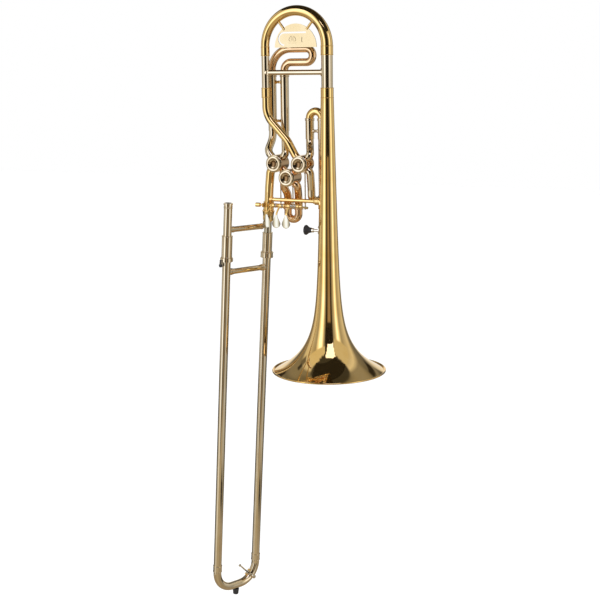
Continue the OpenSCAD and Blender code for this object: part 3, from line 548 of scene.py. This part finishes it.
def paddle_faces(cols, rows):
    """Faces of two grids of points, front and back, and of the edge between them."""
    stride = cols + 1
    n = stride * (rows + 1)
    faces = []
    for r in range(rows):
        for c in range(cols):
            i = r * stride + c
            faces.append((i, i + 1, i + stride + 1, i + stride))
            faces.append((n + i, n + i + stride, n + i + stride + 1, n + i + 1))
    edge = list(range(stride))
    edge += [r * stride + cols for r in range(1, rows + 1)]
    edge += [rows * stride + c for c in range(cols - 1, -1, -1)]
    edge += [r * stride for r in range(rows - 1, 0, -1)]
    for a, b in zip(edge, edge[1:] + edge[:1]):
        faces.append((a, b, n + b, n + a))
    return faces


def lever_barrel(ends, spring):
    """Tube round the hinge, with turned ends and a waist for the spring."""
    (x0, x1), (w0, w1) = ends, spring
    left = [(BARREL_BORE_R, x0), (4.0, x0), (BARREL_R, x0 + 1.3)]
    groove = [(3.5, x0 + 1.6), (3.5, x0 + 2.0), (BARREL_R, x0 + 2.3)]
    waist = [(BARREL_R, w0 - 0.1), (WAIST_R, w0), (WAIST_R, w1), (BARREL_R, w1 + 0.1)]
    right = [(BARREL_R, x1 - 1.5), (3.6, x1 - 1.2), (3.6, x1 - 0.9), (4.15, x1 - 0.6)]
    end = [(4.0, x1), (BARREL_BORE_R, x1)]
    profile = rounded(left + groove + waist + right + end, 0.25, 2)
    return turned(profile, 40, (0, 0, 0), (1, 0, 0), True)


def lever_arm(root, arm, turn):
    """Flat arm from the barrel back to the connecting rod."""
    corners = [(root, 1.2, 0), (root, 4.5, 0), (arm, 11, 0), (arm, 16, 0), (arm, REACH, 0)]
    path = curve_points(corners, 8)
    thick = [3.6 + 0.9 * max(0, 1 - i / 8) for i in range(len(path))]
    return moved(strap(path, [ARM_WIDTH] * len(path), thick, (1, 0, 0)), turn)


def lever_eye(arm, turn):
    """Round end of the arm."""
    disc = lathe_mesh(rounded_disc(2.5, -1.5, 1.5, 0.5), 28)
    return moved(disc, turn @ axis_place((arm, REACH, 0), (1, 0, 0)))


def lever_peg(arm, pin, turn):
    """Pin that the connecting rod hangs on."""
    length = arm - pin + 5.5
    rod = lathe_mesh(rounded_disc(1.0, 0, length, 0.3), 20)
    return moved(rod, turn @ axis_place((arm, REACH, 0), (-1, 0, 0)))


def lever_neck(x, neck_x):
    """Bent strip from the barrel down to the paddle."""
    mid = 0.5 * (x + neck_x)
    upper = [(neck_x, -2.6, -1.4), (0.5 * (mid + neck_x), -6.2, -4.6), (mid, -9.2, -8.2)]
    lower = [(x, -12.4, -13.2), (x, -14.4, -18), (x, -15.0, -22.5)]
    path = curve_points(upper + lower, 6)
    n = len(path)
    width = [3.6 + 0.6 * (2 * i / (n - 1) - 1) ** 2 for i in range(n)]
    thick = [2.2 - 0.7 * i / n for i in range(n)]
    return strap(path, width, thick, (1, 0, 0))


def add_lever(name, body, x, neck_x, arm, ends, spring, pin):
    turn = Matrix.Rotation(-HALF_SWING, 4, "X")
    root = min(arm, ends[1] - 1.6)
    barrel = lever_barrel(ends, spring)
    back = joined(lever_arm(root, arm, turn), lever_eye(arm, turn), lever_peg(arm, pin, turn))
    place = Matrix.Translation(HINGE)
    whole = joined(barrel, back, lever_neck(x, neck_x))
    make(name + "_arm", *whole, "gold_lacquer", body, [name], 35, place)
    pad = make(name + "_paddle", *paddle_mesh(x), "bright_chrome", body, (), 50, place)
    soften = pad.modifiers.new("round", "BEVEL")
    soften.width = PADDLE_EDGE * MM
    soften.segments = 2


# ---------------------------------------------------------------- rubber parts
LEAN, PITCH, TURN = math.radians(4.27), math.radians(1.57), math.radians(-114)
SLIDE = Matrix.Rotation(LEAN, 4, "Y") @ Matrix.Rotation(PITCH, 4, "X") @ Matrix.Rotation(TURN, 4, "Z")
GAP = 98.6  # between the slide's two tubes
BOW_LOW = 767.6  # from the receiver's end down to the slide bow's lowest point
REST_AT = (80.5, 0, -11.5)
KNOB_X = 13.0


def add_hand_rest():
    """Mushroom-shaped cap on the hand rest's stem."""
    face = [(0, 0.4), (3.6, 0.15), (6.8, 0.0), (8.5, 0.25), (9.5, 1.0), (9.9, 2.2), (9.75, 3.4)]
    waist = [(8.9, 4.8), (7.7, 6.1), (6.6, 7.5), (5.8, 9.0), (5.3, 10.6), (5.0, 12.4)]
    mouth = [(5.0, 13.6), (4.7, 14.0), (2.6, 14.0), (2.6, 7.5), (0, 7.5)]
    part = turned(rounded(face + waist + mouth, 0.6), 64, REST_AT, (1, 0, 0))
    make("rest_cap", *part, "black_rubber", BODY, ["hand_rest_cap"])


def add_bumper():
    """Rubber tip under the slide's bow."""
    top = [(0, -8.5), (6.3, -8.5), (6.55, -9.3), (6.5, -11), (6.0, -16)]
    tip = [(5.6, -19.6), (5.2, -20.8), (4.4, -21.2), (0, -21.2)]
    at = SLIDE @ Vector((GAP / 2, 0, -BOW_LOW))
    part = turned(rounded(top + tip, 0.5), 56, at, SLIDE.to_3x3() @ Vector((0, 0, 1)))
    make("bow_tip", *part, "black_rubber", "outer_slide", ["bow_bumper"])


def add_lock_knob():
    """Black thumb piece on the slide lock's ring."""
    block = strap([(KNOB_X, 0, z) for z in (-77.15, -71, -64.9)], [6.3] * 3, [3.5] * 3, (0, 1, 0))
    disc = turned(rounded_disc(3.55, 0, 4.6, 0.6), 32, (11.35, 0, -75.4), (1, 0, 0))
    place = SLIDE @ Matrix.Translation((GAP, 0, 0))
    make("lock_knob", *joined(block, disc), "black_rubber", "slide_lock", (), 40, place)


# ---------------------------------------------------------------- beads on the bell's brace
BEADS = ((104.3, 5.3), (106.9, 7.1), (109.9, 7.0), (112.9, 7.1))  # x and radius
BRACE_Y, BRACE_Z = -5, 45.4


def bead(x, r):
    outline = [(r - 0.9, -0.7), (r - 0.25, -0.7), (r, -0.35), (r, 0.35), (r - 0.25, 0.7), (r - 0.9, 0.7)]
    return turned(outline, 56, (x, BRACE_Y, BRACE_Z), (1, 0, 0), True)


def add_brace_rings():
    """Turned beads round the drum where the brace meets the bell."""
    parts = [bead(x, r) for x, r in BEADS]
    make("brace_rings", *joined(*parts), "gold_lacquer", BODY, (), 40)


# ---------------------------------------------------------------- marks on the bow's plate
PLATE_FRONT, PLATE_X, PLATE_Z = -0.80, 58.5, 349.0
MARK_THICK = 0.18


def ribbon(points, width):
    """Thin flat line on the plate's front face, through points from the ornament's middle."""
    path = [(PLATE_X + x, PLATE_FRONT, PLATE_Z + z) for x, z in points]
    return strap(path, [width] * len(path), [MARK_THICK] * len(path), (0, 1, 0))


def lyre_arm(side):
    """One curled arm of the lyre, side -1 or 1."""
    turns = [math.pi * k / 16 for k in range(17)]
    reach = [2.0 + 4.6 * math.sin(a) + 1.3 * math.sin(2 * a) for a in turns]
    return ribbon([(side * x, -3.0 + 5.2 * (1 - math.cos(a))) for x, a in zip(reach, turns)], 1.5)


def add_plate_marks():
    """Engraved ornament: a lyre over a foot line, and a small mark at the right."""
    parts = [lyre_arm(-1), lyre_arm(1)]
    parts.append(ribbon([(-8, -6.0), (8, -6.0)], 2.0))
    parts += [ribbon([(1.9 * k, -1.6), (1.9 * k, 6.0)], 0.6) for k in (-1, 0, 1)]
    parts.append(ribbon([(20, 5), (19.6, -3.4), (21, -5)], 1.8))
    make("plate_marks", *joined(*parts), "bowl_brass", "tuning_slide", (), 40)


# ---------------------------------------------------------------- water key
BEND_R = 40  # of the slide bow's corner, which the key sits on
KEY_PIVOT = -11.8
KEY_TIP = KEY_PIVOT - 31
KEY_HEIGHT = 13.6  # of the cup over the bow's centre line


def key_place():
    """Middle of the bow's outer corner, x along the bow and y out of it."""
    corner = Matrix.Translation((BEND_R, 0, -BOW_LOW + BEND_R))
    turn = Matrix.Rotation(math.radians(135), 4, "Y")
    return SLIDE @ corner @ turn @ Matrix.Translation((BEND_R, 0, 0))


def key_hub():
    """Barrel round the pivot."""
    lower = [(1.06, -3.9), (2.6, -3.9), (2.6, -2.9), (2.2, -2.6)]
    upper = [(2.2, 2.6), (2.6, 2.9), (2.6, 3.9), (1.06, 3.9)]
    return moved(lathe_mesh(rounded(lower + upper, 0.3), 32, True), Matrix.Translation((KEY_PIVOT, 0, 0)))


def key_finger():
    """Tapered touch for the finger, with a round pad at its tip."""
    x = KEY_PIVOT
    path = curve_points([(x - 1.9, 0.2, 0), (x - 9, 0.3, 0), (x - 20, 0.9, 0), (KEY_TIP + 3, 1.4, 0)], 10)
    n = len(path)
    width = [3.4 - 0.6 * i / n for i in range(n)]
    thick = [2.6 - 0.3 * i / n for i in range(n)]
    pad = turned(rounded_disc(3.0, -0.75, 0.75, 0.5), 32, (KEY_TIP, 1.5, 0), (0, 1, 0))
    return joined(strap(path, width, thick, (0, 0, 1)), pad)


def key_wrap():
    """Bent arm from the pivot over to the cup."""
    x, y = KEY_PIVOT, KEY_HEIGHT
    corners = [(x + 0.6, 2.0, 0), (x + 0.8, 8.5, 0), (x + 2.6, 12.4, 0), (x + 6.5, y, 0), (0, y, 0)]
    path = curve_points(corners, 8)
    return strap(path, [3.2] * len(path), [2.0] * len(path), (0, 0, 1))


def key_cup():
    """Cup that holds the cork."""
    profile = [(0, 12.0), (3.5, 12.0), (4.0, 12.3), (4.0, KEY_HEIGHT), (3.4, 14.15), (0, 14.2)]
    return turned(rounded(profile, 0.35), 36, (0, 0, 0), (0, 1, 0))


def add_key():
    whole = joined(key_hub(), key_finger(), key_wrap(), key_cup())
    make("key_lever", *whole, "nickel_silver", "water_key_body", ["water_key"], 35, key_place())


# ---------------------------------------------------------------- camera
CAMERA_AT = Vector((1.10372, -2.09092, 0.30422))
CAMERA_AZIMUTH = math.radians(26.35)
CAMERA_TILT = math.radians(11.04)
CAMERA_ROLL = math.radians(-0.65)
CAMERA_CLIP = 50
LENS_MM = 72.6
SENSOR_MM = 36.0
SIDEWAYS = Vector((math.cos(CAMERA_AZIMUTH), math.sin(CAMERA_AZIMUTH), 0))
TOWARDS_CAMERA = Vector((math.sin(CAMERA_AZIMUTH), -math.cos(CAMERA_AZIMUTH), 0))


def camera_axes():
    """The camera's right, up and forward directions."""
    turn, level = CAMERA_AZIMUTH, math.cos(CAMERA_TILT)
    forward = Vector((-math.sin(turn) * level, math.cos(turn) * level, -math.sin(CAMERA_TILT)))
    up = SIDEWAYS.cross(forward)
    c, s = math.cos(CAMERA_ROLL), math.sin(CAMERA_ROLL)
    return c * SIDEWAYS + s * up, -s * SIDEWAYS + c * up, forward


def add_camera():
    right, up, forward = camera_axes()
    data = bpy.data.cameras.new("photo_camera")
    data.lens = LENS_MM
    data.sensor_width = SENSOR_MM
    data.clip_end = CAMERA_CLIP
    cam = bpy.data.objects.new("photo_camera", data)
    bpy.context.scene.collection.objects.link(cam)
    turn = Matrix((right, up, -forward)).transposed().to_4x4()
    cam.matrix_world = Matrix.Translation(CAMERA_AT - SOCKET * MM) @ turn
    bpy.context.scene.camera = cam


# ---------------------------------------------------------------- what the metal mirrors
SOFT_BOX = (1.6, 1.74, 2.05)
TOP_LIGHT = (1.9, 1.95, 2.6)
BROWN = (0.36, 0.28, 0.19)
BLACK = (0.03, 0.026, 0.02)
TAN = (0.50, 0.43, 0.31)


def grey(level):
    """Slightly warm grey."""
    return level, level * 0.98, level * 0.92


# Light round the studio, at degrees from the camera's side
STUDIO_RING = [
    (-180, grey(0.95)), (-163, grey(0.9)), (-154, grey(0.14)), (-129, grey(0.24)), (-121, grey(0.66)),
    (-108, grey(0.72)), (-88, grey(0.5)), (-75, grey(0.38)), (-61, grey(1.25)), (-55, SOFT_BOX),
    (-45, SOFT_BOX), (-39, grey(1.1)), (-33, grey(0.5)), (-21, BLACK), (-12, BLACK), (-8, BROWN),
    (10, BROWN), (14, BLACK), (21, BLACK), (26, grey(0.26)), (41, grey(0.6)), (48, grey(1.2)),
    (54, SOFT_BOX), (61, grey(1.3)), (69, grey(0.72)), (77, grey(0.37)), (116, grey(0.74)),
    (131, grey(0.22)), (152, grey(0.12)), (163, grey(0.9)), (180, grey(0.95)),
]
# Walls and lamps over the ring: turn from, to, height from, to, edge, colour
PANELS = [
    (-165, -95, -24.5, -13, 1.5, grey(0.06)),
    (95, 165, -27, -13, 1.5, grey(0.10)),
    (-61, -40, -200, -19, 3, grey(0.9)),
    (42, 74, -200, -17, 3, grey(0.62)),
    (-200, 200, -200, -27, 4, (0.40, 0.34, 0.25)),
    (-38, 30, -200, -23.7, 1.0, TAN),
    (22, 80, -28.6, -27, 0.6, BLACK),
    (-100, -24, 40, 80, 2, (0.70, 0.67, 0.57)),
    (28, 100, 27, 80, 2.5, (0.62, 0.59, 0.49)),
    (-21, 24, 9.5, 32.5, 1.2, BLACK),
    (155, 200, 17, 80, 3, grey(0.12)),
    (-200, -155, 17, 80, 3, grey(0.12)),
    (-150, -131, 25, 60, 4, grey(0.24)),
    (-130, -114, 34, 46, 3, grey(0.15)),
    (-400, 400, 64.5, 200, 2, grey(0.06)),
    (30, 200, 61.5, 200, 2, grey(0.05)),
    (-30, 36, 54.5, 80, 2, grey(0.05)),
    (-46, 52, 57.5, 80, 3, grey(0.05)),
    (-60, 74, 60.5, 80, 3, grey(0.05)),
    (-161, -153, 19, 31, 1.5, BLACK),
    (146, 153, 19, 36, 1.5, BLACK),
    (-137, -127, 40, 46, 1.5, grey(0.05)),
    (-200, -140, 52, 79, 5, grey(0.17)),
    (128, 160, 38, 60, 5, grey(0.3)),
    (-9, 23, 33.5, 63.5, 1.5, TOP_LIGHT),
    (-12, 27, 43, 63.5, 2, TOP_LIGHT),
    (-16, 31, 51, 63.5, 2, TOP_LIGHT),
    (-21, 36, 57, 63.5, 2, TOP_LIGHT),
]
FULL_TURN = 360
DEGREES = 180 / math.pi


def calculate(tree, kind, a, b=None):
    """A maths node's result. a and b are numbers or other nodes' results."""
    m = tree.nodes.new("ShaderNodeMath")
    m.operation = kind
    for i, v in enumerate((a, b)):
        if v is None:
            continue
        if isinstance(v, (int, float)):
            m.inputs[i].default_value = v
        else:
            link(tree, v, m.inputs[i])
    return m.outputs["Value"]


def along(tree, direction, axis):
    """How far a direction goes along an axis."""
    d = tree.nodes.new("ShaderNodeVectorMath")
    d.operation = "DOT_PRODUCT"
    link(tree, direction, d.inputs[0])
    d.inputs[1].default_value = axis
    return d.outputs["Value"]


def soft_step(tree, value, at, soft, before, after):
    """before under at, after over it, with a soft change between."""
    m = tree.nodes.new("ShaderNodeMapRange")
    m.interpolation_type = "SMOOTHSTEP"
    m.inputs["From Min"].default_value = at - soft
    m.inputs["From Max"].default_value = at + soft
    m.inputs["To Min"].default_value = before
    m.inputs["To Max"].default_value = after
    link(tree, value, m.inputs["Value"])
    return m.outputs["Result"]


def band(tree, value, low, high, soft):
    """1 between low and high, 0 outside, over a soft edge."""
    rise = soft_step(tree, value, low, soft, 0, 1)
    fall = soft_step(tree, value, high, soft, 1, 0)
    return calculate(tree, "MULTIPLY", rise, fall)


def over(tree, base, colour, mask):
    """colour laid over base where mask is 1."""
    m = tree.nodes.new("ShaderNodeMix")
    m.data_type = "RGBA"
    link(tree, mask, m.inputs["Factor"])
    link(tree, base, m.inputs["A"])
    m.inputs["B"].default_value = (*colour, 1)
    return m.outputs["Result"]


def look_angles(tree):
    """Turn from the camera's side and height over the horizon of a ray, in degrees."""
    direction = tree.nodes.new("ShaderNodeTexCoord").outputs["Generated"]
    sideways = along(tree, direction, SIDEWAYS)
    towards = along(tree, direction, TOWARDS_CAMERA)
    turn = calculate(tree, "MULTIPLY", calculate(tree, "ARCTAN2", sideways, towards), DEGREES)
    up = along(tree, direction, (0, 0, 1))
    return turn, calculate(tree, "MULTIPLY", calculate(tree, "ARCSINE", up), DEGREES)


def studio_ring(tree, turn):
    """Colour of the light round the studio."""
    ring = tree.nodes.new("ShaderNodeValToRGB")
    elements = ring.color_ramp.elements
    while len(elements) < len(STUDIO_RING):
        elements.new(0.5)
    for e, (degrees, colour) in zip(elements, STUDIO_RING):
        e.position = (degrees + FULL_TURN / 2) / FULL_TURN
        e.color = (*colour, 1)
    share = calculate(tree, "ADD", calculate(tree, "DIVIDE", turn, FULL_TURN), 0.5)
    link(tree, share, ring.inputs["Fac"])
    return ring.outputs["Color"]


def studio(tree):
    """Colour of the whole studio, its panels laid over its ring in their order."""
    turn, height = look_angles(tree)
    colour = studio_ring(tree, turn)
    for turn_from, turn_to, low, high, edge, shade in PANELS:
        mask = band(tree, height, low, high, edge)
        if turn_to - turn_from < FULL_TURN:
            mask = calculate(tree, "MULTIPLY", mask, band(tree, turn, turn_from, turn_to, edge))
        colour = over(tree, colour, shade, mask)
    return colour


def add_world():
    """White to the camera; to the metal, a studio with two tall soft boxes and dark gaps."""
    world = bpy.data.worlds.new("studio")
    bpy.context.scene.world = world
    world.use_nodes = True
    tree = world.node_tree
    tree.nodes.clear()
    mirrored = tree.nodes.new("ShaderNodeBackground")
    link(tree, studio(tree), mirrored.inputs["Color"])
    plain = tree.nodes.new("ShaderNodeBackground")
    plain.inputs["Color"].default_value = (1, 1, 1, 1)
    rays = tree.nodes.new("ShaderNodeLightPath")
    mix = tree.nodes.new("ShaderNodeMixShader")
    link(tree, rays.outputs["Is Glossy Ray"], mix.inputs["Fac"])
    link(tree, plain.outputs["Background"], mix.inputs[1])
    link(tree, mirrored.outputs["Background"], mix.inputs[2])
    out = tree.nodes.new("ShaderNodeOutputWorld")
    link(tree, mix.outputs["Shader"], out.inputs["Surface"])


# ---------------------------------------------------------------- floor, black cards and lamp
FLOOR_HALF = 14.0
FLOOR_GAP = 0.004
SLIDE_TRAVEL = 0.60  # room under the object for the hand slide drawn out
FRONT_CARD = ((-0.46, 0.1), (0.48, 0.62))  # opposite corners, sideways and up
FRONT_CARD_X, FRONT_CARD_AWAY = 0.07, 1.2
TOP_CARD = ((-0.24, -0.33), (0.62, 0.22))  # opposite corners, x and y
TOP_CARD_Z = 0.66
LAMP_AT, LAMP_TARGET = Vector((-1.2, -2.2, 1.9)), Vector((0, 0, -0.2))
LAMP_SIDE = 1.4
LAMP_WATTS = 26


def rectangle(corners):
    """The four corners in order, from two opposite ones."""
    (a, b), (c, d) = corners
    return (a, b), (c, b), (c, d), (a, d)


def add_sheet(name, corners, mat):
    """Flat sheet of the studio, not part of the object."""
    mesh = bpy.data.meshes.new(name)
    mesh.from_pydata(corners, [], [(0, 1, 2, 3)])
    mesh.materials.append(mat)
    sheet = bpy.data.objects.new(name, mesh)
    bpy.context.scene.collection.objects.link(sheet)
    return sheet


def floor_paper():
    mat, _, bsdf = node_tree("floor_paper")
    bsdf.inputs["Base Color"].default_value = (0.95, 0.95, 0.95, 1)
    bsdf.inputs["Roughness"].default_value = 0.9
    bsdf.inputs["Emission Color"].default_value = (1, 1, 1, 1)
    bsdf.inputs["Emission Strength"].default_value = 0.12
    return mat


def black_card(name):
    mat, _, bsdf = node_tree(name)
    bsdf.inputs["Base Color"].default_value = (0.02, 0.018, 0.015, 1)
    bsdf.inputs["Specular IOR Level"].default_value = 0.0
    return mat


def add_floor():
    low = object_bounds()[0][2] - SLIDE_TRAVEL - FLOOR_GAP
    half = FLOOR_HALF
    corners = [(x, y, low) for x, y in rectangle(((-half, -half), (half, half)))]
    floor = add_sheet("floor", corners, floor_paper())
    floor.visible_glossy = False


def add_card(name, corners):
    """Black card seen only in the metal."""
    card = add_sheet(name, [Vector(c) - SOCKET * MM for c in corners], black_card(name))
    for kind in ("camera", "diffuse", "transmission", "volume_scatter", "shadow"):
        setattr(card, "visible_" + kind, False)


def add_cards():
    """One card before the camera stand, one over the main bow."""
    middle = Vector((FRONT_CARD_X, 0, 0)) + FRONT_CARD_AWAY * TOWARDS_CAMERA
    front = [middle + SIDEWAYS * x + Vector((0, 0, z)) for x, z in rectangle(FRONT_CARD)]
    add_card("front_card", front)
    add_card("top_card", [(x, y, TOP_CARD_Z) for x, y in rectangle(TOP_CARD)])


def add_lamp():
    """Soft square lamp, up to the left of the camera."""
    data = bpy.data.lights.new("key", "AREA")
    data.shape = "RECTANGLE"
    data.size = LAMP_SIDE
    data.size_y = LAMP_SIDE
    data.energy = LAMP_WATTS
    lamp = bpy.data.objects.new("key", data)
    bpy.context.scene.collection.objects.link(lamp)
    lamp.location = LAMP_AT - SOCKET * MM
    lamp.rotation_euler = (LAMP_TARGET - LAMP_AT).to_track_quat("-Z", "Y").to_euler()
    lamp.visible_glossy = False


# ---------------------------------------------------------------- the whole
finish_nodes()
add_bell()
add_bow()
add_caps()
add_cap_bowls()
add_springs()
for lever, sizes in LEVERS.items():
    add_lever(lever, *sizes)
add_hand_rest()
add_bumper()
add_lock_knob()
add_brace_rings()
add_plate_marks()
add_key()

add_camera()
add_world()
add_floor()
add_cards()
add_lamp()
view = bpy.context.scene.view_settings
view.view_transform = "Standard"
view.look = "None"
